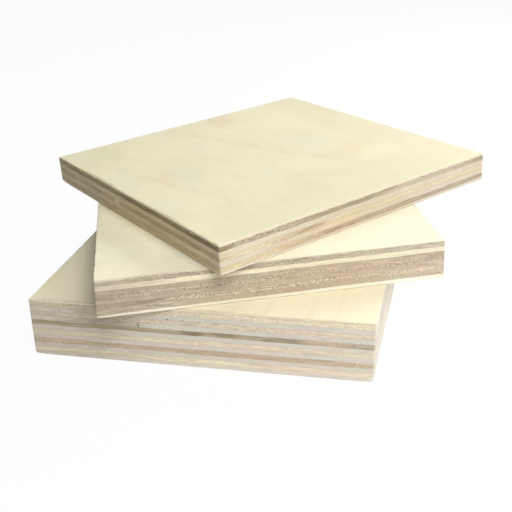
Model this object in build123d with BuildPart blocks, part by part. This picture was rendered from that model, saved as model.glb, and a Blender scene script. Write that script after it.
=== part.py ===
from build123d import *
import os

# Three square plywood samples lie on one another, the thickest at the bottom, each turned further
# than the one below. Every board is glued up from rotary cut veneers: a back veneer, core veneers
# laid crosswise in turn, and a face veneer thinned by sanding. The origin is the middle of the
# bottom board's underside, with that board square to X and Y. Millimetres and degrees.

# Bottom board
bottom_width = 100.5
bottom_depth = 100.5
bottom_back = 1.35
bottom_core = 1.49
bottom_core_count = 11
bottom_face = 0.5

# Middle board
middle_width = 98.3
middle_depth = 98.0
middle_back = 1.35
middle_core = 1.39
middle_core_count = 7
middle_face = 0.5
middle_turn = 21.9
middle_right = 2.4
middle_behind = 5.8

# Top board
top_width = 103.1
top_depth = 100.5
top_back = 0.9
top_core = 1.48
top_core_count = 5
top_face = 0.5
top_turn = 49.9
top_right = 4.0
top_behind = 21.2

# Edges after sawing and a rub with sandpaper
corner_radius = 0.5
arris_radius = 0.2

# Two strips of one core veneer meet with a narrow gap, which shows on the bottom board's front edge
joint_veneer = 8
joint_from_left = 33.5
joint_gap = 0.25

os.makedirs("parts", exist_ok=True)


def save(veneer, label):
    """Labels a finished veneer and writes it out."""
    veneer.part.label = label
    export_step(veneer.part, f"parts/{label}.step")


def outer_veneer(label, plane, width, depth, thickness, eased_side):
    """A back or face veneer. Its outer rim, the lowest or the highest, is rubbed round."""
    with BuildPart() as veneer:
        with BuildSketch(plane):
            RectangleRounded(width, depth, corner_radius)
        extrude(amount=thickness)
        fillet(veneer.edges().group_by(Axis.Z)[eased_side], arris_radius)
    save(veneer, label)


def core_veneer(label, plane, width, depth, thickness, joint=None):
    """A plain inner veneer, or two strips of it with a gap at the joint's distance from the left."""
    with BuildPart() as veneer:
        with BuildSketch(plane):
            RectangleRounded(width, depth, corner_radius)
            if joint is not None:
                with Locations((joint - width / 2, 0)):
                    Rectangle(joint_gap, depth, mode=Mode.SUBTRACT)
        extrude(amount=thickness)
    save(veneer, label)


def lay_up(board, plane, width, depth, back, core, core_count, face, joints):
    """Builds a board's veneers upwards from the plane it lies on, and gives the board's thickness."""
    outer_veneer(f"{board}_back_veneer", plane, width, depth, back, 0)
    for number in range(1, core_count + 1):
        underside = plane.offset(back + (number - 1) * core)
        core_veneer(f"{board}_core_veneer_{number}", underside, width, depth, core, joints.get(number))
    underside = plane.offset(back + core_count * core)
    outer_veneer(f"{board}_face_veneer", underside, width, depth, face, -1)
    return back + core_count * core + face


def turned_plane(right, behind, height, turn):
    """The level plane a board lies on: its middle, and its turn about the vertical."""
    return Plane(Location((right, behind, height), (0, 0, turn)))


middle_height = lay_up(
    "bottom_board", Plane.XY, bottom_width, bottom_depth,
    bottom_back, bottom_core, bottom_core_count, bottom_face, {joint_veneer: joint_from_left},
)
middle_plane = turned_plane(middle_right, middle_behind, middle_height, middle_turn)
top_height = middle_height + lay_up(
    "middle_board", middle_plane, middle_width, middle_depth,
    middle_back, middle_core, middle_core_count, middle_face, {},
)
top_plane = turned_plane(top_right, top_behind, top_height, top_turn)
stack_height = top_height + lay_up(
    "top_board", top_plane, top_width, top_depth,
    top_back, top_core, top_core_count, top_face, {},
)
print(f"The stack is {stack_height:.2f} mm high")
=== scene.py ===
import math
from dataclasses import dataclass

import bpy
import numpy as np
from mathutils import Matrix, Vector


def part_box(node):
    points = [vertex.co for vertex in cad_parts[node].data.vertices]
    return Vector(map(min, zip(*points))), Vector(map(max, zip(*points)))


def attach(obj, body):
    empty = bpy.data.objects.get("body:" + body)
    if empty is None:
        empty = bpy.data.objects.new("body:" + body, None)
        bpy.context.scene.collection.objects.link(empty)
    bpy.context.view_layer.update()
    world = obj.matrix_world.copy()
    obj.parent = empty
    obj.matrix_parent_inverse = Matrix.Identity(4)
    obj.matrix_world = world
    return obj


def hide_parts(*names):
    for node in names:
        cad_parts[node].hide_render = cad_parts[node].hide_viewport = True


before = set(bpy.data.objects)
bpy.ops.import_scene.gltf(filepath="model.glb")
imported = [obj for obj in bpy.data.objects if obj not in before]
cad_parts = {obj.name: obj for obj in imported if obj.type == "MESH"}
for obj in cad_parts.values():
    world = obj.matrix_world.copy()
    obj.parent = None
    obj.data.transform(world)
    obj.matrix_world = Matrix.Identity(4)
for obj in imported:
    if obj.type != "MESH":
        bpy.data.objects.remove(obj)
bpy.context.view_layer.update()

# Three plywood samples lie on one another. Every veneer of the construction model is replaced by a
# finished one with wavy glue lines, rough sawn sides, broken edges and its own wood. Each finished
# veneer is modelled in its board's own place, then turned with the board. Lengths are in metres.
MM = 0.001
SEED = 41

# Outlines as they are built
CORNER_RADIUS = 0.5 * MM
CUT_RADIUS = 0.05 * MM
JOINT_FROM_LEFT = 33.5 * MM
JOINT_GAP = 0.25 * MM
JOINT_VENEER = "bottom_board_core_veneer_8"

# The front, right, back and left sides: which way each runs round the rim and faces
ALONG = np.array([(1, 0), (0, 1), (-1, 0), (0, -1)])
OUTWARD = np.array([(0, -1), (1, 0), (0, 1), (-1, 0)])

# Glue lines: how far they rise and fall, and the lengths of their waves. The one under the face
# veneer is calmer and ragged. Inside a joint, away from the rim, they level out.
GLUE_WAVE = 0.07 * MM
RAGGED_WAVE = 0.09 * MM
LONG_WAVE = 14 * MM
SHORT_WAVE = 3.5 * MM
TORN_WAVE = 1.3 * MM
SHORT_WAVE_SHARE = 0.4
FACE_WAVE_SHARE = 0.6
JOINT_FADE = 3 * MM
NO_DRIFT = ((0.0, 0.0),)

# Sawn sides, and how far round a worn corner its wear reaches
SAWN_ROUGHNESS = 0.014 * MM
SAW_WAVE = 1.1 * MM
GRIT = SAWN_ROUGHNESS * 0.5
WEAR_REACH = 1.6 * MM

# Nicks in the upper edges, of which the side right below keeps a share
NICK_SPACING = 4 * MM
NICK_LENGTHS = (0.6 * MM, 2.4 * MM)
NICK_DEPTHS = (0.04 * MM, 0.28 * MM)
NICK_SHARE = 0.6

# Hollows torn out under the face veneers. The shallowest is a share of the deepest.
HOLLOW_SPACING = 1.8 * MM
HOLLOW_LENGTHS = (0.5 * MM, 2.6 * MM)
DEEPEST_HOLLOW = 0.45 * MM
SHALLOWEST_SHARE = 0.2

# Splinters that hang from the face veneers, with their ranges in mm
SPLINTER_SPACING = 2.2 * MM
SPLINTER_LENGTHS = (0.6, 2.4)
SPLINTER_DROPS = (0.05, 0.5)
SPLINTER_THICKNESSES = (0.05, 0.12)
SPLINTER_LIFTS = (0.02, 0.12)
SPLINTER_BULGE = 0.6

# Mesh steps. The steps of a side come in eights, so that a cap can halve the rim at each shrink.
STEP = 0.5 * MM
STEP_BLOCK = 8
CORNER_STEPS = 4
ROWS = (0.0, 0.1, 0.3, 0.5, 0.7, 0.9, 1.0)
ARRIS_STEPS = 3
CAP_SHRINKS = (0.992, 0.975, 0.94, 0.86)
FEWEST_KNOTS = 8
SHARP_ANGLE = math.radians(40)

# Tones are 8-bit values, and may pass 255 in pale wood. A tone of 255 gives back this share of the light.
PALEST = 0.74
WHITE = (1.0, 1.0, 1.0, 1.0)

# Wood patterns: how far they shift from veneer to veneer, and how the grain waves up and down in mm
SEED_SHIFT = (37.1, 23.7, 11.3)
SEEDS_PER_BOARD = 20
WAVE_SCALES = (0.11, 0.11, 0.3)
WAVINESS = 1.8

# Tones and shares of what lies over the wood, and of the painted shade inside the torn hollows
SPECK_TONE = 0.62
PORE_SHARE = 0.35
FACE_PORE_SHARE = 0.06
GLUE_TONE = (150, 134, 108)
GLUE_SHARE = 0.22
# Painted shade inside the torn hollows: how dark, and over which share of the deepest hollow it fades in
PAINTED_HOLLOW_SHADE = 0.55
HOLLOW_LIMITS = (0.05, 0.9)

# Stained patches, painted light and painted shade: how far one on a front side reaches inwards, in mm, and
# the level of one that takes up any height. They fade out between two distances from the middle, in radii,
# and their edges wander.
FRONT_REACH = 5
ANY_LEVEL = (0.0, 1000.0)
STAIN_AND_SHADE_FADE = (1.35, 0.35)
SIDE_WANDER = 1.5
FACE_WANDER = 2.4

# Growth rings on the faces: how far clouds bend them in mm, how the arches lean and open, the soft
# strong lines, and the fine faint ones
CLOUD_SCALES = (0.05, 0.05, 0.0)
RING_BEND = 6.0
ARCH_LEAN = 0.415
ARCH_OPENING = 3.5
LINE_CORE = 0.1
LINE_LIMITS = (0.30, 0.55)
FINE_RING_SCALE = 0.22
FINE_RING_LIMITS = (0.56, 0.72)
FINE_RING_SHARE = 0.14

# Surfaces: how far a normal leans before a surface counts as across the grain or as flat, and relief
ACROSS_LIMITS = (0.5, 0.8)
FLAT_LIMITS = (0.6, 0.9)
SIDE_RELIEF = 0.03 * MM
FACE_RELIEF = 0.006 * MM
BUMP_STRENGTH = 0.35
ROUGHNESS = 0.72
SPECULAR = 0.25

# Surroundings
FLOOR_SIZE = 8.0
FLOOR_COLOUR = (0.8, 0.8, 0.8, 1.0)
FLOOR_WHITE_SHARE = 0.96
FILL_STRENGTH = 0.054
LAMP_AIM = Vector((0.0, 5.0, 20.0)) * MM

# The photograph's viewpoint, in the frame of the bottom board
EYE = Vector((73.8, -246.9, 133.53)) * MM
VIEW_AZIMUTH = math.radians(15.53)
VIEW_DOWN = math.radians(25.49)
VIEW_ROLL = math.radians(-3.75)
LENS = 60.98
SENSOR_WIDTH = 36.0
CLIP_START = 0.01
CLIP_END = 20.0


@dataclass
class Cut:
    """How a veneer looks from one side: three tones, and how much of each pattern shows.

    Broad patches of the second tone lie over the first. Wisps and short upright strokes of the
    light tone lie over both, and stained patches, painted shade and painted light over them. Streaks and
    specks shade all of it."""
    tone: tuple
    second: tuple
    light: tuple
    patches: float = 0.7
    wisps: float = 0.3
    strokes: float = 0.1
    streaks: float = 0.4
    specks: float = 0.0


@dataclass
class StainAndShade:
    """A soft patch of another tone, plain or only where a pattern of the wood shows. Most are marks in the
    wood itself; some are painted shade and some painted light.

    Its centre and half sizes are in mm from the board's front left corner, seen from above. Its
    level is its height above the board's underside and half its thickness."""
    centre: tuple
    radii: tuple
    tone: tuple
    share: float
    pattern: str = "even"
    level: tuple = ANY_LEVEL


@dataclass
class Veneer:
    """A veneer's looks on sides that run along its grain and across it, with stained patches and painted
    shade on its sides.
    """
    along: Cut
    across: Cut
    stains_and_shades: tuple = ()


@dataclass
class Figure:
    """The growth rings on a face: nested arches round an apex, or straight lines if arch is zero.

    The apex is in mm from the front left corner. The lines are the strong rings' distances across
    the grain, in mm, with half their width. Stained patches, painted light and painted shade lie on the
    face alone."""
    apex: tuple = (0.0, 0.0)
    arch: float = 0.0
    lines: tuple = ()
    line_width: float = 1.5
    line_tone: tuple = (240, 214, 178)
    line_share: float = 0.3
    stains_and_shades: tuple = ()


@dataclass
class Board:
    """A board with its veneers from the bottom up.

    Worn corners are in mm, anticlockwise from the front left. The arrises are the radii of the lower
    and upper edges, and torn is the share of the deepest hollow that the face veneer's edge reaches.
    The left and right sides lie this many mm too far right at their upper and lower edges. Drifts
    move a glue line, counted from the underside, at ways round the rim, both in mm."""
    name: str
    width: float
    depth: float
    turn: float
    face_grain: str
    flat: Cut
    figure: Figure
    veneers: tuple
    worn_corners: tuple
    lower_arris: float
    upper_arris: float
    torn: float
    left_side: tuple = (0.0, 0.0)
    right_side: tuple = (0.0, 0.0)
    drifts: tuple = ()


@dataclass
class Layer:
    """A veneer's place in its board: its node, and the height curves of the glue lines round it.

    The lowest and the highest have rounded edges, and the torn one lies right under the face veneer."""
    node: str
    low: object
    high: object
    lowest: bool
    highest: bool
    torn: bool


@dataclass
class Lamp:
    """A square lamp's direction from the stack in degrees, its distance, its size and its watts."""
    name: str
    azimuth: float
    elevation: float
    distance: float
    size: float
    power: float


def front(distance, reach, tone, share, pattern="even", level=ANY_LEVEL):
    """A patch on a board's front side, at a distance from its left corner, both in mm. Some are stained
    patches, and some are painted shade.
    """
    return StainAndShade((distance, 0), (reach, FRONT_REACH), tone, share, pattern, level)


LAMPS = (
    Lamp("key", -54.0, 44.0, 0.42, 0.26, 1.74),
    Lamp("side", 52.0, 22.0, 0.42, 0.30, 2.36),
    Lamp("over", 0.0, 89.0, 0.60, 0.40, 0.68),
)

# Looks that several veneers share
PALE_END = Cut((241, 234, 214), (239, 229, 217), (250, 242, 226), 0.9, 0.3, 0.1, 0.5)
PALE_SIDE = Cut((241, 233, 217), (234, 228, 217), (249, 242, 228), 0.7, 0.3, 0.0, 0.3)
CREAM_WISPS = Cut((250, 238, 207), (252, 234, 212), (272, 259, 225), 0.8, 0.8, 0.4, 0.7, 0.15)
TAN_WISPS = Cut((238, 222, 196), (241, 220, 202), (260, 245, 213), 0.8, 0.7, 0.5, 0.7, 0.35)
PINK_WISPS = Cut((240, 224, 197), (242, 221, 203), (263, 249, 220), 0.9, 0.7, 0.5, 0.8, 0.5)
ORANGE_BROWN = Cut((226, 205, 176), (216, 194, 165), (250, 232, 198), 0.9, 0.5, 0.4, 1.0, 0.2)
HEARTWOOD = Cut((210, 194, 168), (196, 180, 154), (228, 213, 184), 0.8, 0.4, 0.3, 1.3, 0.2)
HEARTWOOD_END = Cut((232, 223, 208), (225, 216, 202), (242, 234, 220), 0.7, 0.4, 0.2, 0.5)
BRIGHT_SIDE = Cut((262, 250, 219), (255, 241, 209), (268, 258, 228), 0.7, 0.4, 0.0, 0.5)
TAN_END = Cut((211, 195, 168), (200, 183, 159), (240, 225, 196), 0.8, 0.5, 0.7, 0.9, 0.45)
LIGHT_TAN_END = Cut((221, 204, 176), (209, 192, 167), (243, 226, 196), 0.8, 0.5, 0.5, 0.9, 0.3)
TAN_STROKES = Cut((214, 197, 170), (205, 187, 164), (244, 228, 200), 0.8, 0.3, 0.7, 1.0, 0.8)
WARM_SIDE = Cut((250, 233, 196), (242, 224, 187), (258, 243, 208), 0.8, 0.4, 0.3, 0.7)
WARM_END = Cut((234, 217, 176), (224, 205, 164), (244, 228, 190), 0.8, 0.3, 0.3, 0.8, 0.1)
PINK_END = Cut((238, 224, 199), (238, 218, 198), (245, 232, 206), 0.9, 0.4, 0.1, 0.4)

# Stained patches and painted shade that several veneers share
PINK_BANDS = StainAndShade((50, 50), (90, 90), (240, 225, 215), 0.5, "lines")
BRIGHT_WISPS = front(76, 32, (274, 261, 221), 0.5, "wisps")
ROSY_PATCHES = front(82, 28, (252, 228, 206), 0.6, "patches")
# Painted shade: the left part of the bottom board's front is darker where the middle board's shadow falls
# on it
PAINTED_SHADE_PINK = front(6, 24, (234, 220, 204), 0.85)
PALE_MIDDLE = front(68, 24, (250, 240, 222), 0.6)
ROSY_TAN = front(84, 30, (226, 198, 180), 0.6, "patches")
# Painted shade: a dark line round a board's lower edge, up to 0.14 mm high, where the gap under the board
# lies in shadow
LOWER_EDGE_PAINTED_SHADE = StainAndShade((50, 50), (200, 200), (116, 100, 70), 0.9, level=(0.0, 0.14))
BRIGHT_SPOTS = front(88, 14, (274, 262, 228), 0.6, "specks")
SAW_TICKS = front(94, 9, (160, 150, 132), 0.34, "ticks")

BOTTOM_FIGURE = Figure(
    lines=(62.0, 71.0, 83.0, 90.0),
    line_tone=(250, 232, 194),
    stains_and_shades=(
        StainAndShade((10, 60), (24, 60), (250, 243, 212), 0.8),
        StainAndShade((55, -0.3), (80, 1.3), (226, 211, 180), 0.7),
    ),
)

BOTTOM_VENEERS = (
    # Back
    Veneer(PALE_SIDE, Cut((254, 243, 222), (249, 236, 222), (258, 250, 232), 0.9, 0.3, 0.1, 0.5), (
        # Painted shade towards the left end
        PAINTED_SHADE_PINK,
    )),
    # Core 1
    Veneer(Cut((261, 248, 215), (265, 245, 220), (279, 268, 230), 0.9, 0.7, 0.3, 0.7, 0.1), PALE_END, (
        front(10, 26, (236, 224, 198), 0.7),
        front(41, 11, (252, 226, 202), 0.6, "patches"),
        front(72, 12, (264, 240, 216), 0.6, "patches"),
        BRIGHT_WISPS,
    )),
    # Core 2
    # With painted shade towards the left end
    Veneer(PALE_SIDE, PALE_END, (PAINTED_SHADE_PINK, PALE_MIDDLE, PINK_BANDS)),
    # Core 3
    Veneer(ORANGE_BROWN, HEARTWOOD_END, (
        StainAndShade((80, 0), (28, 6), (244, 210, 184), 0.8, "patches"),
        front(95, 8, (160, 130, 102), 0.35, "specks"),
        front(62, 30, (190, 160, 134), 0.5, "lines"),
    )),
    # Core 4
    # With painted shade towards the left end
    Veneer(PALE_SIDE, PALE_END, (PAINTED_SHADE_PINK, PALE_MIDDLE, PINK_BANDS)),
    # Core 5
    Veneer(CREAM_WISPS, PALE_END, (
        front(12, 22, (232, 220, 194), 0.55),
        front(46, 8, (248, 222, 200), 0.6, "patches"),
        ROSY_PATCHES, BRIGHT_WISPS,
    )),
    # Core 6
    # With painted shade towards the left end
    Veneer(PALE_SIDE, PALE_END, (PAINTED_SHADE_PINK, PALE_MIDDLE, PINK_BANDS, SAW_TICKS)),
    # Core 7
    Veneer(HEARTWOOD, HEARTWOOD_END, (
        front(8, 26, (190, 173, 146), 0.6),
        front(49, 4, (132, 114, 86), 0.75, level=(11.0, 0.9)),
        front(60, 5, (142, 126, 92), 0.65, level=(11.2, 0.8)),
        front(75, 8, (156, 145, 127), 0.7, level=(11.2, 0.9)),
        front(50, 30, (178, 162, 134), 0.6, "lines"),
        front(87, 7, (236, 212, 182), 0.8),
        front(97, 6, (160, 148, 126), 0.7, "patches"),
        SAW_TICKS,
    )),
    # Core 8
    Veneer(PALE_SIDE, PALE_END, (
        # Painted shade towards the left end
        PAINTED_SHADE_PINK,
        # Painted shadow under the middle board's lower left corner
        front(20, 13, (204, 188, 164), 0.6),
        PINK_BANDS, SAW_TICKS,
        StainAndShade((JOINT_FROM_LEFT / MM, 0), (0.3, 3), (150, 134, 112), 0.5, level=(12.3, 0.9)),
    )),
    # Core 9
    Veneer(PINK_WISPS, PALE_END, (
        SAW_TICKS,
        front(16, 20, (230, 213, 190), 0.8),
        ROSY_PATCHES,
        front(80, 28, (270, 252, 212), 0.5, "wisps"),
        BRIGHT_SPOTS,
    )),
    # Core 10
    Veneer(PALE_SIDE, PALE_END, (
        # Painted shade towards the left end
        PAINTED_SHADE_PINK,
        # Painted shadow under the middle board's lower left corner
        front(21, 11, (206, 190, 164), 0.65),
        PINK_BANDS,
        StainAndShade((42.5, 0), (0.4, 2), (110, 96, 78), 0.9, level=(14.9, 0.3)),
        StainAndShade((47, 0), (0.4, 2), (130, 112, 92), 0.8, level=(15.1, 0.25)),
    )),
    # Core 11
    Veneer(Cut((248, 233, 202), (252, 233, 210), (268, 256, 222), 0.8, 0.7, 0.6, 0.8, 0.5), PALE_END, (
        front(12, 20, (228, 213, 186), 0.7),
        # Painted shadow under the middle board's lower left corner
        front(21, 9, (206, 190, 162), 0.4),
        BRIGHT_WISPS, BRIGHT_SPOTS,
    )),
    # Face
    Veneer(PALE_SIDE, Cut((246, 231, 201), (240, 226, 198), (254, 241, 212), 0.7, 0.4, 0.2, 0.3)),
)

BOTTOM = Board(
    name="bottom_board",
    width=100.5 * MM,
    depth=100.5 * MM,
    turn=math.radians(0.0),
    face_grain="y",
    flat=Cut((261, 252, 219), (262, 247, 212), (266, 258, 226), 0.7, 0.3, 0.0, 0.1),
    figure=BOTTOM_FIGURE,
    veneers=BOTTOM_VENEERS,
    worn_corners=(0.9, 0.7, 0.2, 0.3),
    lower_arris=0.22 * MM,
    upper_arris=0.2 * MM,
    torn=0.25,
    left_side=(0.28, -0.55),
    right_side=(0.4, -0.7),
)

MIDDLE_FIGURE = Figure(
    lines=(22.0, 47.0, 60.0),
    line_tone=(246, 234, 202),
    stains_and_shades=(
        StainAndShade((6, 40), (22, 70), (272, 264, 228), 0.7),
        StainAndShade((14, 16), (12, 8), (272, 266, 240), 0.5, "wisps"),
        StainAndShade((50, -0.3), (75, 0.9), (222, 209, 180), 0.5),
    ),
)

MIDDLE_VENEERS = (
    # Back
    Veneer(Cut((272, 268, 246), (266, 258, 232), (278, 274, 254), 0.7, 0.3, 0.0, 0.3), PALE_END, (
        front(6, 14, (262, 250, 222), 0.8),
        # Painted shade in a thin line round the lower edge
        LOWER_EDGE_PAINTED_SHADE,
    )),
    # Core 1
    Veneer(TAN_WISPS, LIGHT_TAN_END, (
        front(60, 40, (176, 158, 128), 0.5, "lines"),
        front(2, 18, (200, 185, 160), 0.8),
        ROSY_TAN,
    )),
    # Core 2
    Veneer(Cut((217, 201, 174), (208, 191, 167), (260, 246, 218), 0.8, 0.4, 0.9, 1.0, 0.5), TAN_END, (
        front(90, 18, (240, 210, 188), 0.6, "lines"),
        front(4, 18, (186, 172, 150), 0.85),
        front(40, 40, (176, 158, 128), 0.5, "specks"),
    )),
    # Core 3
    Veneer(TAN_WISPS, LIGHT_TAN_END, (
        front(40, 36, (170, 154, 126), 0.5, "lines"),
        front(3, 24, (202, 188, 163), 0.8),
        ROSY_TAN,
    )),
    # Core 4
    Veneer(TAN_STROKES, TAN_END, (
        front(1, 15, (190, 175, 152), 0.8),
        front(68, 18, (236, 218, 190), 0.5),
        front(84, 22, (226, 196, 172), 0.6, "lines"),
        front(44, 36, (166, 148, 118), 0.5, "specks"),
        front(4, 6, (196, 170, 146), 0.4, "lines"),
        ROSY_TAN,
    )),
    # Core 5
    Veneer(TAN_WISPS, TAN_END, (
        front(30, 20, (166, 152, 124), 0.5, "lines"),
        front(3, 20, (200, 184, 158), 0.7),
        front(4, 5, (204, 180, 156), 0.3),
        ROSY_TAN,
        front(95, 9, (208, 190, 164), 0.7),
    )),
    # Core 6
    Veneer(BRIGHT_SIDE, PALE_END, (
        front(86, 26, (254, 246, 216), 0.8),
        front(6, 14, (232, 217, 190), 0.8),
    )),
    # Core 7
    Veneer(HEARTWOOD, Cut((199, 185, 158), (188, 173, 149), (238, 224, 198), 0.7, 0.4, 0.6, 1.0, 0.75), (
        front(94, 30, (224, 211, 188), 0.8),
        front(2, 9, (208, 195, 170), 0.9),
    )),
    # Face
    Veneer(Cut((216, 202, 175), (206, 191, 165), (238, 226, 202), 0.7, 0.4, 0.2, 0.5), PALE_END, (
        front(5, 9, (236, 224, 196), 0.9),
        front(27, 9, (232, 219, 191), 0.9),
    )),
)

MIDDLE = Board(
    name="middle_board",
    width=98.3 * MM,
    depth=98.0 * MM,
    turn=math.radians(21.9),
    face_grain="x",
    flat=Cut((252, 247, 221), (253, 244, 215), (256, 251, 227), 0.7, 0.3, 0.0, 0.12),
    figure=MIDDLE_FIGURE,
    veneers=MIDDLE_VENEERS,
    worn_corners=(0.4, 0.2, 0.2, 0.3),
    lower_arris=0.14 * MM,
    upper_arris=0.18 * MM,
    torn=0.9,
    left_side=(0.45, -0.35),
    drifts=(
        (1, ((0, -0.55), (12, -0.5), (32, -0.3), (60, -0.1), (98, 0), (360, 0))),
        (6, ((0, 0), (50, 0.05), (98, 0.2), (140, 0))),
        (7, ((0, 0), (50, 0.15), (98, 0.4), (140, 0))),
        (8, ((0, -0.15), (30, -0.12), (46, 0), (98, 0.06), (140, 0), (360, 0))),
    ),
)

TOP_FIGURE = Figure(
    apex=(70.0, 31.0),
    arch=8.0,
    lines=(8.5, 51.0),
    line_width=2.6,
    line_tone=(242, 229, 192),
    line_share=0.12,
    stains_and_shades=(
        # Painted light towards the back of the face, evening out how the lamps' light falls off
        StainAndShade((50, 98), (90, 34), (255, 248, 213), 0.8),
        # Painted shade towards the front of the face, evening out how the lamps' light falls off
        StainAndShade((50, 0), (90, 26), (237, 230, 195), 0.8),
        StainAndShade((102, 60), (15, 90), (243, 234, 201), 0.75),
        StainAndShade((-0.3, 50), (1.3, 80), (200, 190, 158), 0.65),
        StainAndShade((79, 36), (13, 10), (243, 214, 172), 0.30, "rings"),
        StainAndShade((56, 52), (9, 16), (226, 220, 176), 0.30, "rings"),
        StainAndShade((66, 36), (9, 9), (226, 219, 174), 0.35, "rings"),
        StainAndShade((49, 80), (8, 12), (242, 216, 190), 0.22, "rings"),
        StainAndShade((16, 44), (14, 30), (240, 217, 184), 0.28, "rings"),
        StainAndShade((65, 94), (7, 7), (240, 212, 172), 0.32),
        StainAndShade((46, 91), (5, 8), (240, 214, 182), 0.22),
        StainAndShade((98, 18), (4, 4), (244, 216, 180), 0.25),
        StainAndShade((25, 14), (4, 4), (244, 216, 186), 0.25),
        StainAndShade((16, 54), (5, 6), (244, 218, 188), 0.22),
        StainAndShade((13, 90), (6, 9), (236, 230, 184), 0.35),
        StainAndShade((46, 14), (5, 5), (243, 218, 186), 0.15),
    ),
)

TOP_VENEERS = (
    # Back
    Veneer(WARM_SIDE, Cut((243, 229, 206), (240, 222, 204), (250, 238, 214), 0.9, 0.4, 0.1, 0.4), (
        front(6, 15, (256, 242, 218), 0.6),
    )),
    # Core 1
    Veneer(Cut((210, 192, 165), (203, 184, 158), (236, 216, 184), 0.8, 0.5, 0.3, 1.0, 0.2), WARM_END, (
        StainAndShade((12, -3), (24, 5), (240, 222, 190), 0.9),
        front(88, 28, (196, 179, 158), 0.5),
        StainAndShade((7, -3), (14, 5), (254, 243, 176), 0.7, "wisps"),
        StainAndShade((10, -3), (14, 5), (256, 245, 180), 0.8, "strokes"),
        front(26, 12, (246, 222, 180), 0.6, "patches"),
        front(26, 12, (228, 194, 150), 0.5, "strokes"),
        front(42, 9, (170, 144, 112), 0.8, "lines"),
        front(60, 12, (206, 174, 150), 0.6, "lines"),
    )),
    # Core 2
    Veneer(WARM_SIDE, PINK_END, (
        StainAndShade((6, -3), (14, 5), (236, 226, 210), 0.8),
        StainAndShade((9, -3), (12, 5), (256, 244, 184), 0.6, "wisps"),
        front(25, 10, (222, 192, 152), 0.7, "strokes"),
        front(43, 10, (256, 226, 188), 0.6),
    )),
    # Core 3
    Veneer(Cut((238, 222, 186), (236, 217, 190), (250, 238, 198), 0.8, 0.3, 0.2, 0.6), WARM_END, (
        StainAndShade((7, -3), (20, 5), (256, 247, 198), 0.9, "wisps"),
        front(28, 11, (224, 200, 164), 0.7),
        front(16, 20, (196, 176, 140), 0.4, "specks"),
        StainAndShade((27.5, 0), (4, 3), (176, 148, 112), 0.7, level=(4.3, 0.17)),
        StainAndShade((33, 0), (4, 3), (168, 140, 104), 0.7, level=(4.65, 0.17)),
        front(54, 16, (244, 232, 180), 0.4, "patches"),
        StainAndShade((0, 24), (5, 28), (208, 189, 147), 0.9),
        StainAndShade((0, 58), (5, 1.6), (264, 254, 218), 0.9),
    )),
    # Core 4
    Veneer(WARM_SIDE, PINK_END, (
        StainAndShade((11, -3), (20, 5), (244, 232, 210), 0.6),
        StainAndShade((0, 8), (3, 20), (232, 214, 178), 0.8),
        StainAndShade((0, 57), (5, 1.2), (262, 250, 214), 0.7),
    )),
    # Core 5
    Veneer(
        Cut((216, 203, 177), (208, 194, 168), (230, 218, 192), 0.7, 0.4, 0.4, 0.8, 0.2),
        Cut((207, 185, 143), (190, 169, 128), (220, 199, 157), 0.7, 0.3, 0.4, 1.1, 0.3),
        (
            front(10, 26, (204, 191, 164), 0.8),
            front(12, 26, (108, 96, 68), 0.65, "specks"),
            front(40, 18, (172, 158, 128), 0.6, "lines"),
            StainAndShade((0, 24), (5, 46), (176, 160, 126), 0.9),
            front(45, 18, (180, 166, 136), 0.75),
            front(74, 34, (206, 187, 163), 0.5, "lines"),
            front(101, 4, (184, 168, 139), 0.6),
            StainAndShade((0, 7), (5, 12), (158, 143, 109), 0.8),
            StainAndShade((0, 101), (5, 10), (236, 218, 178), 0.7),
        ),
    ),
    # Face
    Veneer(Cut((214, 196, 158), (203, 184, 146), (226, 208, 170), 0.7, 0.4, 0.2, 0.9), PINK_END),
)

TOP = Board(
    name="top_board",
    width=103.1 * MM,
    depth=100.5 * MM,
    turn=math.radians(49.9),
    face_grain="y",
    flat=Cut((248, 241, 205), (243, 237, 207), (251, 245, 211), 0.7, 0.3, 0.0, 0.1),
    figure=TOP_FIGURE,
    veneers=TOP_VENEERS,
    worn_corners=(0.2, 0.2, 0.2, 0.9),
    lower_arris=0.22 * MM,
    upper_arris=0.3 * MM,
    torn=1.0,
)

BOARDS = (BOTTOM, MIDDLE, TOP)


def node_names(board):
    """The board's veneers in the construction model, from the bottom up."""
    cores = [f"{board.name}_core_veneer_{number}" for number in range(1, len(board.veneers) - 1)]
    return [f"{board.name}_back_veneer", *cores, f"{board.name}_face_veneer"]


def strip_outline(left, right, depth, radii):
    """Points round a strip from its front left corner, anticlockwise, with their outward directions."""
    corners = np.array([(left, -depth / 2), (right, -depth / 2), (right, depth / 2), (left, depth / 2)])
    inward = np.array([(1, 1), (-1, 1), (-1, -1), (1, -1)])
    points, outward = [], []
    for number in range(4):
        following = (number + 1) % 4
        centre = corners[number] + inward[number] * radii[number]
        start = math.pi + number * math.pi / 2
        for step in range(CORNER_STEPS):
            angle = start + step / CORNER_STEPS * math.pi / 2
            outward.append((math.cos(angle), math.sin(angle)))
            points.append(centre + radii[number] * np.array(outward[-1]))
        direction = np.array([math.cos(start + math.pi / 2), math.sin(start + math.pi / 2)])
        begin = centre + radii[number] * direction
        end = corners[following] + inward[following] * radii[following] + radii[following] * direction
        steps = STEP_BLOCK * round(np.linalg.norm(end - begin) / STEP / STEP_BLOCK)
        for step in range(steps):
            points.append(begin + (end - begin) * step / steps)
            outward.append(direction)
    return np.array(points), np.array(outward)


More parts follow.
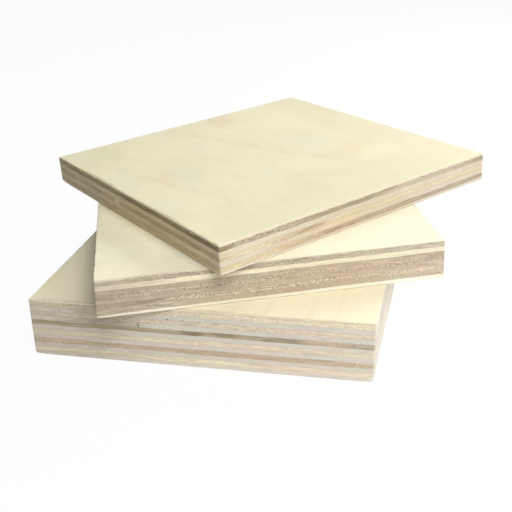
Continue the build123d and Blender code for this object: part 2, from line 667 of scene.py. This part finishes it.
def outlines(board, node):
    """The outline of a whole veneer, or of the two strips that meet at the joint."""
    half = board.width / 2
    if node != JOINT_VENEER:
        return [strip_outline(-half, half, board.depth, [CORNER_RADIUS] * 4)]
    joint = JOINT_FROM_LEFT - half
    left_radii = [CORNER_RADIUS, CUT_RADIUS, CUT_RADIUS, CORNER_RADIUS]
    right_radii = [CUT_RADIUS, CORNER_RADIUS, CORNER_RADIUS, CUT_RADIUS]
    return [
        strip_outline(-half, joint - JOINT_GAP / 2, board.depth, left_radii),
        strip_outline(joint + JOINT_GAP / 2, half, board.depth, right_radii),
    ]


def rim_length(board):
    """The whole way round the board's rim."""
    return 2 * (board.width + board.depth)


def side_starts(board):
    """The way round the rim at which the front, right, back and left sides start."""
    return 0.0, board.width, board.width + board.depth, 2 * board.width + board.depth


def way_round(board, points):
    """How far each point lies round the board's rim, and how far inside the rim."""
    x, y = points[:, 0] + board.width / 2, points[:, 1] + board.depth / 2
    distances = np.array([y, board.width - x, board.depth - y, x])
    _, right_start, _, left_start = side_starts(board)
    along = np.array([x, right_start + y, left_start - x, rim_length(board) - y])
    nearest = distances.argmin(axis=0)
    index = np.arange(len(points))
    return along[nearest, index], distances[nearest, index]


def ripple(random, length, wave, amplitude):
    """A smooth random curve over the way round a rim."""
    knots = max(FEWEST_KNOTS, int(length / wave))
    values = random.normal(0.0, amplitude, knots)

    def curve(way):
        place = way / length * knots % knots
        low = np.floor(place).astype(int) % knots
        share = place - np.floor(place)
        share = share * share * (3 - 2 * share)
        return values[low] * (1 - share) + values[(low + 1) % knots] * share
    return curve


def glue_line(board, height, drift, size, ragged, random):
    """The height of one glue line as a curve round the rim."""
    length = rim_length(board)
    long_wave = ripple(random, length, LONG_WAVE, size)
    short_wave = ripple(random, length, SHORT_WAVE, size * SHORT_WAVE_SHARE)
    torn_wave = ripple(random, length, TORN_WAVE, ragged)
    ways, lifts = (np.array(drift) * MM).T

    def curve(way):
        drifted = height + np.interp(way, ways, lifts, period=length)
        return drifted + long_wave(way) + short_wave(way) + torn_wave(way)
    return curve


def glue_lines(board, heights, random):
    """The curves of all glue lines from the bottom up. The board's outer faces stay flat."""
    drifts = dict(board.drifts)
    curves = []
    for number, height in enumerate(heights):
        outer = number in (0, len(heights) - 1)
        under_face = number == len(heights) - 2
        size = 0.0 if outer else GLUE_WAVE * (FACE_WAVE_SHARE if under_face else 1.0)
        ragged = RAGGED_WAVE if under_face else 0.0
        curves.append(glue_line(board, height, drifts.get(number, NO_DRIFT), size, ragged, random))
    return curves


def broken(random, way, length, spacing, sizes, depths):
    """How deep an edge is broken back at each point, in short nicks at random places."""
    depth = np.zeros(len(way))
    for _ in range(int(length / spacing)):
        middle = random.uniform(0.0, length)
        half = random.uniform(*sizes) / 2
        apart = np.abs((way - middle + length / 2) % length - length / 2)
        nick = random.uniform(*depths) * np.clip(1.0 - (apart / half) ** 2, 0.0, 1.0)
        depth = np.maximum(depth, nick)
    return depth


def damage(board, layer, way, random):
    """How deep a veneer's upper edge is nicked, and how deep its side is torn under the face veneer."""
    length = rim_length(board)
    nicks, hollow = np.zeros(len(way)), np.zeros(len(way))
    if layer.highest:
        nicks = broken(random, way, length, NICK_SPACING, NICK_LENGTHS, NICK_DEPTHS)
    if layer.torn:
        depths = (SHALLOWEST_SHARE * board.torn * DEEPEST_HOLLOW, board.torn * DEEPEST_HOLLOW)
        hollow = broken(random, way, length, HOLLOW_SPACING, HOLLOW_LENGTHS, depths)
    return nicks, hollow


def corner_wear(board, points):
    """How much rounder the lower edge is near the worn corners."""
    corners = np.array([(-1, -1), (1, -1), (1, 1), (-1, 1)]) * (board.width / 2, board.depth / 2)
    wear = np.zeros(len(points))
    for corner, size in zip(corners, board.worn_corners):
        wear += size * MM * np.exp(-np.linalg.norm(points - corner, axis=1) / WEAR_REACH)
    return wear


def edge_height(curve, way, fade):
    """A glue line's height at each point, levelled out where the point lies inside the rim."""
    return curve(way) * fade + np.mean(curve(way)) * (1 - fade)


def lower_arris_rings(bottom, radius):
    """The rings that round off a board's lower edge, from the underside up."""
    rings = []
    for step in range(ARRIS_STEPS):
        angle = step / ARRIS_STEPS * math.pi / 2
        height = bottom + radius * (1 - math.cos(angle))
        rings.append((radius * (1 - math.sin(angle)), height, 0.0, 0.0))
    return rings


def upper_arris_rings(top, radius, inset):
    """The rings that round off a board's upper edge, from the side up."""
    rings = []
    for step in range(ARRIS_STEPS):
        angle = (step + 1) / ARRIS_STEPS * math.pi / 2
        height = top - radius * (1 - math.sin(angle))
        rings.append((inset + radius * (1 - math.cos(angle)), height, 0.0, 0.0))
    return rings


def side_rings(board, layer, points, outward, random):
    """The rings round a veneer's side from its lower to its upper edge, each with its glue and hollows."""
    way, inside = way_round(board, points)
    fade = np.exp(-inside / JOINT_FADE)
    bottom, top = edge_height(layer.low, way, fade), edge_height(layer.high, way, fade)
    rough = ripple(random, rim_length(board), SAW_WAVE, SAWN_ROUGHNESS)(way)
    nicks, hollow = damage(board, layer, way, random)
    lower_arris = board.lower_arris + corner_wear(board, points) if layer.lowest else 0.0
    upper_arris = board.upper_arris if layer.highest else 0.0
    rings = lower_arris_rings(bottom, lower_arris) if layer.lowest else []
    for row in ROWS:
        height = bottom + lower_arris + (top - upper_arris - bottom - lower_arris) * row
        grit = random.normal(0.0, GRIT, len(points))
        torn = hollow * row ** 3
        glued = (row == 0.0 and not layer.lowest) or (row == 1.0 and not layer.highest)
        inset = rough + grit + torn + nicks * row * NICK_SHARE
        rings.append((inset, height, float(glued), torn / DEEPEST_HOLLOW))
    if layer.highest:
        rings += upper_arris_rings(top, upper_arris, rough + nicks)
    return [(np.column_stack([points - outward * np.reshape(inset, (-1, 1)), height]), glue, share)
            for inset, height, glue, share in rings]


class Shape:
    """Points and faces of a mesh, with a share of glue and of torn hollow at each point."""

    def __init__(self):
        self.points, self.faces, self.glue, self.hollow = [], [], [], []

    def add_points(self, points, glue=0.0, hollow=0.0):
        """Adds points and gives the number of the first."""
        first = len(self.points)
        self.points.extend(points.tolist())
        self.glue.extend([glue] * len(points))
        self.hollow.extend((np.zeros(len(points)) + hollow).tolist())
        return first

    def mesh(self, name):
        """A smooth mesh with sharp arrises, which keeps the two shares as attributes."""
        mesh = bpy.data.meshes.new(name)
        mesh.from_pydata(self.points, [], self.faces)
        mesh.attributes.new("glue", "FLOAT", "POINT").data.foreach_set("value", self.glue)
        mesh.attributes.new("hollow", "FLOAT", "POINT").data.foreach_set("value", self.hollow)
        mesh.validate()
        mesh.shade_smooth()
        mesh.set_sharp_from_angle(angle=SHARP_ANGLE)
        return mesh


def add_cap(shape, ring, base, middle, flip):
    """Closes a rim with ever smaller rings and a middle point, facing down if flipped."""
    start, count = base, len(ring)
    level = float(ring[:, 2].mean())
    new = []
    for number, shrink in enumerate(CAP_SHRINKS):
        inner = ring[::2 ** (number + 1)].copy()
        inner[:, :2] = middle + (inner[:, :2] - middle) * shrink
        inner[:, 2] = level + (inner[:, 2] - level) * (1 - (number + 1) / len(CAP_SHRINKS))
        begin = shape.add_points(inner)
        for i in range(len(inner)):
            a, b, c = start + 2 * i, start + 2 * i + 1, start + (2 * i + 2) % count
            p, q = begin + i, begin + (i + 1) % len(inner)
            new += [(a, b, p), (b, q, p), (b, c, q)]
        start, count = begin, len(inner)
    last = shape.add_points(np.array([[*middle, level]]))
    new += [(start + i, start + (i + 1) % count, last) for i in range(count)]
    shape.faces.extend([tuple(reversed(face)) for face in new] if flip else new)


def add_strip(shape, rings):
    """Adds one closed strip of veneer to the shape."""
    count = len(rings[0][0])
    starts = [shape.add_points(ring, glue, hollow) for ring, glue, hollow in rings]
    for lower, upper in zip(starts, starts[1:]):
        for i in range(count):
            j = (i + 1) % count
            shape.faces.append((lower + i, lower + j, upper + j, upper + i))
    middle = rings[0][0][:, :2].mean(axis=0)
    add_cap(shape, rings[-1][0], starts[-1], middle, False)
    add_cap(shape, rings[0][0], starts[0], middle, True)


def add_splinter(shape, middle, tip, bulge, thick, level, drop):
    """Adds one splinter as a thin spike from the glue line down to its tip."""
    a = shape.add_points(np.array([
        (*(middle - bulge), level + thick),
        (*(middle + bulge * SPLINTER_BULGE), level),
        (*(middle - bulge), level - thick),
        (*tip, level - drop),
    ]))
    shape.faces.extend([(a, a + 1, a + 2), (a, a + 3, a + 1), (a + 1, a + 3, a + 2), (a + 2, a + 3, a)])


def add_splinters(shape, board, low, random):
    """Adds short fibres that have come loose from the face veneer and lie over the veneer below."""
    half = np.array([board.width, board.depth]) / 2
    starts = side_starts(board)
    for _ in range(int(rim_length(board) / SPLINTER_SPACING)):
        way = random.uniform(0.0, rim_length(board))
        length = random.uniform(*SPLINTER_LENGTHS) * MM
        drop = random.uniform(*SPLINTER_DROPS) * MM
        thick = random.uniform(*SPLINTER_THICKNESSES) * MM
        lift = random.uniform(*SPLINTER_LIFTS) * MM
        side = sum(way > start for start in starts[1:])
        along, outward = ALONG[side], OUTWARD[side]
        middle = outward * half + along * (way - starts[side] - abs(along @ half))
        if abs(middle @ along) + length > abs(along @ half) - 2 * CORNER_RADIUS:
            continue
        level = float(low(np.array([way]))[0])
        tip = middle + along * length * random.choice((-1.0, 1.0)) + outward * lift
        add_splinter(shape, middle, tip, outward * thick, thick, level, drop)


def lean_sides(mesh, board, thickness):
    """Leans the left and right sides, which aren't sawn quite square, and eases the rest along."""
    points = np.empty(3 * len(mesh.vertices))
    mesh.vertices.foreach_get("co", points)
    points = points.reshape(-1, 3)
    height = points[:, 2] / thickness
    across = 0.5 + points[:, 0] / board.width
    left = board.left_side[1] + (board.left_side[0] - board.left_side[1]) * height
    right = board.right_side[1] + (board.right_side[0] - board.right_side[1]) * height
    points[:, 0] += (left * (1 - across) + right * across) * MM
    mesh.vertices.foreach_set("co", points.ravel())


def veneer_mesh(name, board, layer, random):
    """The mesh of a finished veneer."""
    shape = Shape()
    for points, outward in outlines(board, layer.node):
        add_strip(shape, side_rings(board, layer, points, outward, random))
    if layer.highest:
        add_splinters(shape, board, layer.low, random)
    return shape.mesh(name)


def colour(tone):
    """The linear colour of an 8-bit tone."""
    linear = [((value / 255 + 0.055) / 1.055) ** 2.4 * PALEST for value in tone]
    return (*linear, 1.0)


class Graph:
    """Short ways to add shader nodes to a material or world. Each gives the new node's result."""

    def __init__(self, owner):
        owner.use_nodes = True
        self.tree = owner.node_tree
        self.tree.nodes.clear()

    def add(self, kind, inputs, **settings):
        """Adds a node and gives the node itself. An input is a socket to link or a value to set."""
        node = self.tree.nodes.new(kind)
        for key, value in settings.items():
            setattr(node, key, value)
        for key, value in inputs.items():
            if isinstance(value, bpy.types.NodeSocket):
                self.tree.links.new(value, node.inputs[key])
            else:
                node.inputs[key].default_value = value
        return node

    def math(self, operation, first, second=0.0):
        return self.add("ShaderNodeMath", {0: first, 1: second}, operation=operation).outputs[0]

    def vector(self, operation, first, second):
        return self.add("ShaderNodeVectorMath", {0: first, 1: second}, operation=operation).outputs[0]

    def scaled(self, first, factor):
        return self.add("ShaderNodeVectorMath", {0: first, "Scale": factor}, operation="SCALE").outputs[0]

    def centred(self, noise, size):
        """A noise that lies round 0.5, moved to lie round zero and made larger or smaller."""
        return self.math("MULTIPLY", self.math("SUBTRACT", noise, 0.5), size)

    def noise(self, vector, scales, detail=2.0):
        place = self.vector("MULTIPLY", vector, scales)
        return self.add("ShaderNodeTexNoise", {"Vector": place, "Scale": 1.0, "Detail": detail}).outputs[0]

    def smooth(self, value, low, high):
        """Rises smoothly from 0 at the low value to 1 at the high one."""
        inputs = {"Value": value, "From Min": low, "From Max": high}
        return self.add("ShaderNodeMapRange", inputs, interpolation_type="SMOOTHSTEP").outputs[0]

    def blend(self, share, first, second):
        """Mixes two colours."""
        return self.add("ShaderNodeMix", {0: share, 6: first, 7: second}, data_type="RGBA").outputs[2]

    def between(self, share, first, second):
        """Mixes two numbers."""
        return self.add("ShaderNodeMix", {0: share, 2: first, 3: second}, data_type="FLOAT").outputs[0]


def stretched(grain, along, across, upright):
    """Scales per mm for a pattern that runs along the grain."""
    return (along, across, upright) if grain == "x" else (across, along, upright)


def wood_patterns(graph, place, grain, seed):
    """Patterns of the wood, each from 0 to 1, except that streaks and pores lie round 0.5.

    Each is a noise with its scales per mm and detail, and fades in between two of its values."""
    shifted = graph.vector("ADD", place, tuple(seed * shift for shift in SEED_SHIFT))
    wave = graph.centred(graph.noise(shifted, WAVE_SCALES), WAVINESS)
    lift = graph.add("ShaderNodeCombineXYZ", {2: wave}).outputs[0]
    waved = graph.vector("ADD", shifted, lift)
    streaks = graph.noise(waved, stretched(grain, 0.08, 0.22, 2.2), 4.0)
    return {
        "even": 1.0,
        "patches": graph.smooth(graph.noise(waved, stretched(grain, 0.04, 0.06, 0.5), 3.0), 0.40, 0.60),
        "wisps": graph.smooth(graph.noise(waved, stretched(grain, 0.42, 2.4, 3.0), 3.0), 0.50, 0.63),
        "strokes": graph.smooth(graph.noise(shifted, stretched(grain, 3.5, 3.5, 1.9), 2.0), 0.52, 0.61),
        "specks": graph.smooth(graph.noise(shifted, stretched(grain, 1.5, 2.6, 2.6), 2.0), 0.52, 0.62),
        "lines": graph.smooth(streaks, 0.50, 0.58),
        "ticks": graph.smooth(graph.noise(place, (4.2, 4.2, 0.3), 1.0), 0.56, 0.70),
        "streaks": streaks,
        "pores": graph.noise(shifted, stretched(grain, 0.7, 4.0, 4.0), 2.0),
    }


def from_middle(board, corner_place, height):
    """A place given in mm from the front left corner, in mm from the middle of the underside."""
    return (corner_place[0] - board.width / MM / 2, corner_place[1] - board.depth / MM / 2, height)


def stain_and_shade_share(graph, board, place, wander, stain_and_shade, patterns):
    """Where a patch of another tone lies, seen from above. Such patches are stained wood, painted shade
    and painted light.
    """
    height, half_thickness = stain_and_shade.level
    away = graph.vector("SUBTRACT", place, from_middle(board, stain_and_shade.centre, height))
    offset = graph.vector("DIVIDE", away, (*stain_and_shade.radii, half_thickness))
    distance = graph.add("ShaderNodeVectorMath", {0: offset}, operation="LENGTH").outputs["Value"]
    share = graph.smooth(graph.math("ADD", distance, wander), *STAIN_AND_SHADE_FADE)
    if stain_and_shade.pattern != "even":
        share = graph.math("MULTIPLY", share, patterns[stain_and_shade.pattern])
    return graph.math("MULTIPLY", share, stain_and_shade.share)


def ring_place(graph, board, place, cloud):
    """A distance across the grain that is equal all along each growth ring."""
    away = graph.vector("SUBTRACT", place, from_middle(board, board.figure.apex, 0.0))
    parts = graph.add("ShaderNodeSeparateXYZ", {0: away})
    bend = graph.centred(cloud, RING_BEND)
    if not board.figure.arch:
        return graph.math("ADD", parts.outputs[0 if board.face_grain == "y" else 1], bend)
    leaning = graph.math("MULTIPLY", parts.outputs[0], ARCH_LEAN)
    sideways = graph.math("MINIMUM", parts.outputs[0], leaning)
    square = graph.math("ADD", graph.math("MULTIPLY", sideways, sideways), board.figure.arch ** 2)
    upward = graph.math("DIVIDE", parts.outputs[1], ARCH_OPENING)
    return graph.math("ADD", graph.math("SUBTRACT", graph.math("SQRT", square), upward), bend)


def ring_lines(graph, board, rings, cloud):
    """Where the strongest rings lie, as soft lines that come and go."""
    lines = 0.0
    for line in board.figure.lines:
        apart = graph.math("ABSOLUTE", graph.math("SUBTRACT", rings, line))
        lines = graph.math("MAXIMUM", lines, graph.smooth(apart, board.figure.line_width, LINE_CORE))
    return graph.math("MULTIPLY", lines, graph.smooth(cloud, *LINE_LIMITS))


def face_tone(graph, board, place, patterns, tone):
    """A face's tone with the growth rings, stained patches, painted light and painted shade of its figure.
    """
    cloud = graph.noise(place, CLOUD_SCALES, 3.0)
    rings = ring_place(graph, board, place, cloud)
    inputs = {"W": graph.math("MULTIPLY", rings, FINE_RING_SCALE), "Scale": 1.0, "Detail": 3.0}
    fine = graph.add("ShaderNodeTexNoise", inputs, noise_dimensions="1D").outputs[0]
    faint = graph.math("MULTIPLY", graph.smooth(fine, *FINE_RING_LIMITS), FINE_RING_SHARE)
    line_tone = colour(board.figure.line_tone)
    tone = graph.blend(graph.math("MULTIPLY", faint, patterns["patches"]), tone, line_tone)
    lines = ring_lines(graph, board, rings, cloud)
    tone = graph.blend(graph.math("MULTIPLY", lines, board.figure.line_share), tone, line_tone)
    wander = graph.centred(cloud, FACE_WANDER)
    for stain_and_shade in board.figure.stains_and_shades:
        share = stain_and_shade_share(graph, board, place, wander, stain_and_shade, {**patterns, "rings": lines})
        tone = graph.blend(share, tone, colour(stain_and_shade.tone))
    return tone


def seen(graph, looks, across, flat):
    """A number or a tone of the cut that a surface shows: along the grain, across it or flat."""
    mix = graph.between
    if isinstance(looks[0], tuple):
        mix, looks = graph.blend, [colour(tone) for tone in looks]
    side = mix(across, looks[0], looks[1])
    return side if flat is None else mix(flat, side, looks[2])


def wood_tone(graph, board, place, veneer, patterns, across, flat):
    """The tone of the wood, with its patterns, stained patches, painted light and painted shade."""
    def look(feature):
        cuts = (veneer.along, veneer.across, board.flat)
        return seen(graph, [getattr(cut, feature) for cut in cuts], across, flat)

    def overlay(tone, pattern, other):
        return graph.blend(graph.math("MULTIPLY", patterns[pattern], look(pattern)), tone, other)

    tone = overlay(look("tone"), "patches", look("second"))
    tone = overlay(tone, "wisps", look("light"))
    tone = overlay(tone, "strokes", look("light"))
    wander = graph.centred(patterns["streaks"], SIDE_WANDER)
    for stain_and_shade in veneer.stains_and_shades:
        share = stain_and_shade_share(graph, board, place, wander, stain_and_shade, patterns)
        if flat is not None:
            share = graph.math("MULTIPLY", share, graph.math("SUBTRACT", 1.0, flat))
        tone = graph.blend(share, tone, colour(stain_and_shade.tone))
    tone = overlay(tone, "specks", graph.scaled(tone, SPECK_TONE))
    if flat is not None:
        tone = graph.blend(flat, tone, face_tone(graph, board, place, patterns, tone))
    shade = graph.centred(patterns["streaks"], look("streaks"))
    pore_share = PORE_SHARE if flat is None else graph.between(flat, PORE_SHARE, FACE_PORE_SHARE)
    dots = graph.centred(patterns["pores"], pore_share)
    return graph.scaled(tone, graph.math("ADD", 1.0, graph.math("ADD", shade, dots)))


def glue_and_hollow_shade(graph, tone):
    """The wood's tone, greyer along the glue lines, with painted shade that darkens it inside the torn
    hollows.
    """
    glue = graph.add("ShaderNodeAttribute", {}, attribute_name="glue").outputs["Fac"]
    tone = graph.blend(graph.math("MULTIPLY", glue, GLUE_SHARE), tone, colour(GLUE_TONE))
    # Painted shade inside the torn hollows
    hollow = graph.add("ShaderNodeAttribute", {}, attribute_name="hollow").outputs["Fac"]
    return graph.blend(graph.smooth(hollow, *HOLLOW_LIMITS), tone, graph.scaled(tone, PAINTED_HOLLOW_SHADE))


def wood(name, board, grain, veneer, outer, seed):
    """Veneer wood. What shows depends on whether a surface runs along the grain, across it or flat."""
    material = bpy.data.materials.new(name)
    graph = Graph(material)
    where = graph.add("ShaderNodeTexCoord", {})
    place = graph.scaled(where.outputs["Object"], 1 / MM)
    facing = graph.add("ShaderNodeSeparateXYZ", {0: where.outputs["Normal"]})
    endwise, upward = facing.outputs[0 if grain == "x" else 1], facing.outputs[2]
    across = graph.smooth(graph.math("ABSOLUTE", endwise), *ACROSS_LIMITS)
    flat = graph.smooth(graph.math("ABSOLUTE", upward), *FLAT_LIMITS) if outer else None
    patterns = wood_patterns(graph, place, grain, seed)
    tone = wood_tone(graph, board, place, veneer, patterns, across, flat)
    tone = glue_and_hollow_shade(graph, tone)

    height = graph.math("ADD", patterns["pores"], patterns["strokes"])
    depth = SIDE_RELIEF if flat is None else graph.between(flat, SIDE_RELIEF, FACE_RELIEF)
    bump = graph.add("ShaderNodeBump", {"Strength": BUMP_STRENGTH, "Distance": depth, "Height": height})
    shader = graph.add("ShaderNodeBsdfPrincipled", {
        "Base Color": tone,
        "Roughness": ROUGHNESS,
        "Specular IOR Level": SPECULAR,
        "Normal": bump.outputs[0],
    })
    graph.add("ShaderNodeOutputMaterial", {"Surface": shader.outputs[0]})
    return material


def grain_axis(board, number):
    """The axis that a veneer's grain follows: that of the face veneer, and crosswise in turn below it."""
    below_face = len(board.veneers) - 1 - number
    crosswise = {"x": "y", "y": "x"}[board.face_grain]
    return crosswise if below_face % 2 else board.face_grain


def add_object(name, data):
    """Puts a new object into the scene."""
    thing = bpy.data.objects.new(name, data)
    bpy.context.scene.collection.objects.link(thing)
    return thing


def add_piece(name, mesh, place, node):
    """Puts a finished veneer in its place, instead of the plain one."""
    piece = add_object(name, mesh)
    piece.matrix_world = place
    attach(piece, "root")
    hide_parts(node)


def finish_board(board, random):
    """Replaces every veneer of a board by its finished one."""
    nodes = node_names(board)
    boxes = [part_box(node) for node in nodes]
    base = boxes[0][0].z
    centre = (boxes[0][0] + boxes[0][1]) / 2
    place = Matrix.Translation((centre.x, centre.y, base)) @ Matrix.Rotation(board.turn, 4, "Z")
    heights = [box[0].z - base for box in boxes] + [boxes[-1][1].z - base]
    curves = glue_lines(board, heights, random)
    last = len(nodes) - 1
    for number, (node, veneer) in enumerate(zip(nodes, board.veneers)):
        low, high = curves[number:number + 2]
        layer = Layer(node, low, high, number == 0, number == last, number == last - 1)
        name = f"{node}_finished"
        mesh = veneer_mesh(name, board, layer, random)
        lean_sides(mesh, board, heights[-1])
        outer = layer.lowest or layer.highest
        seed = number + 1 + SEEDS_PER_BOARD * BOARDS.index(board)
        mesh.materials.append(wood(name, board, grain_axis(board, number), veneer, outer, seed))
        add_piece(name, mesh, place, node)


def white_to_camera(graph, surface, kind, share):
    """Mixes a surface with pure white for the camera only, and gives the mixed shader."""
    path = graph.add("ShaderNodeLightPath", {})
    factor = graph.math("MULTIPLY", path.outputs["Is Camera Ray"], share)
    white = graph.add(kind, {"Color": WHITE, "Strength": 1.0})
    inputs = {0: factor, 1: surface.outputs[0], 2: white.outputs[0]}
    return graph.add("ShaderNodeMixShader", inputs).outputs[0]


def add_floor():
    """A plain pale floor. Seen directly it is nearly white, and it keeps the stack's shadow."""
    bpy.ops.mesh.primitive_plane_add(size=FLOOR_SIZE, location=(0.0, 0.0, 0.0))
    ground = bpy.context.object
    ground.name = "floor"
    material = bpy.data.materials.new("pale_floor")
    graph = Graph(material)
    diffuse = graph.add("ShaderNodeBsdfDiffuse", {"Color": FLOOR_COLOUR})
    mixed = white_to_camera(graph, diffuse, "ShaderNodeEmission", FLOOR_WHITE_SHARE)
    graph.add("ShaderNodeOutputMaterial", {"Surface": mixed})
    ground.data.materials.append(material)


def add_world():
    """White to the camera, and a faint even fill for everything else."""
    sky = bpy.data.worlds.new("studio")
    bpy.context.scene.world = sky
    graph = Graph(sky)
    fill = graph.add("ShaderNodeBackground", {"Color": WHITE, "Strength": FILL_STRENGTH})
    mixed = white_to_camera(graph, fill, "ShaderNodeBackground", 1.0)
    graph.add("ShaderNodeOutputWorld", {"Surface": mixed})


def add_lamp(lamp):
    """A soft square lamp aimed at the middle of the stack."""
    turn, tilt = math.radians(lamp.azimuth), math.radians(lamp.elevation)
    direction = Vector((math.cos(turn) * math.cos(tilt), math.sin(turn) * math.cos(tilt), math.sin(tilt)))
    light = bpy.data.lights.new(lamp.name, "AREA")
    light.shape = "SQUARE"
    light.size = lamp.size
    light.energy = lamp.power
    holder = add_object(lamp.name, light)
    holder.location = LAMP_AIM + direction * lamp.distance
    holder.rotation_mode = "QUATERNION"
    holder.rotation_quaternion = (-direction).to_track_quat("-Z", "Y")


def add_camera():
    """The photograph's viewpoint: its place, aim, slight roll and lens."""
    right = Vector((math.cos(VIEW_AZIMUTH), math.sin(VIEW_AZIMUTH), 0.0))
    back = Vector((math.sin(VIEW_AZIMUTH) * math.cos(VIEW_DOWN),
                   -math.cos(VIEW_AZIMUTH) * math.cos(VIEW_DOWN), math.sin(VIEW_DOWN)))
    up = back.cross(right)
    rolled_right = right * math.cos(VIEW_ROLL) + up * math.sin(VIEW_ROLL)
    rolled_up = up * math.cos(VIEW_ROLL) - right * math.sin(VIEW_ROLL)
    data = bpy.data.cameras.new("camera")
    data.lens = LENS
    data.sensor_width = SENSOR_WIDTH
    data.clip_start = CLIP_START
    data.clip_end = CLIP_END
    holder = add_object("camera", data)
    axes = Matrix((rolled_right, rolled_up, back)).transposed()
    holder.matrix_world = Matrix.Translation(EYE) @ axes.to_4x4()
    bpy.context.scene.camera = holder


chance = np.random.default_rng(SEED)
for board in BOARDS:
    finish_board(board, chance)
add_floor()
add_world()
for lamp in LAMPS:
    add_lamp(lamp)
add_camera()
bpy.context.scene.view_settings.view_transform = "Standard"
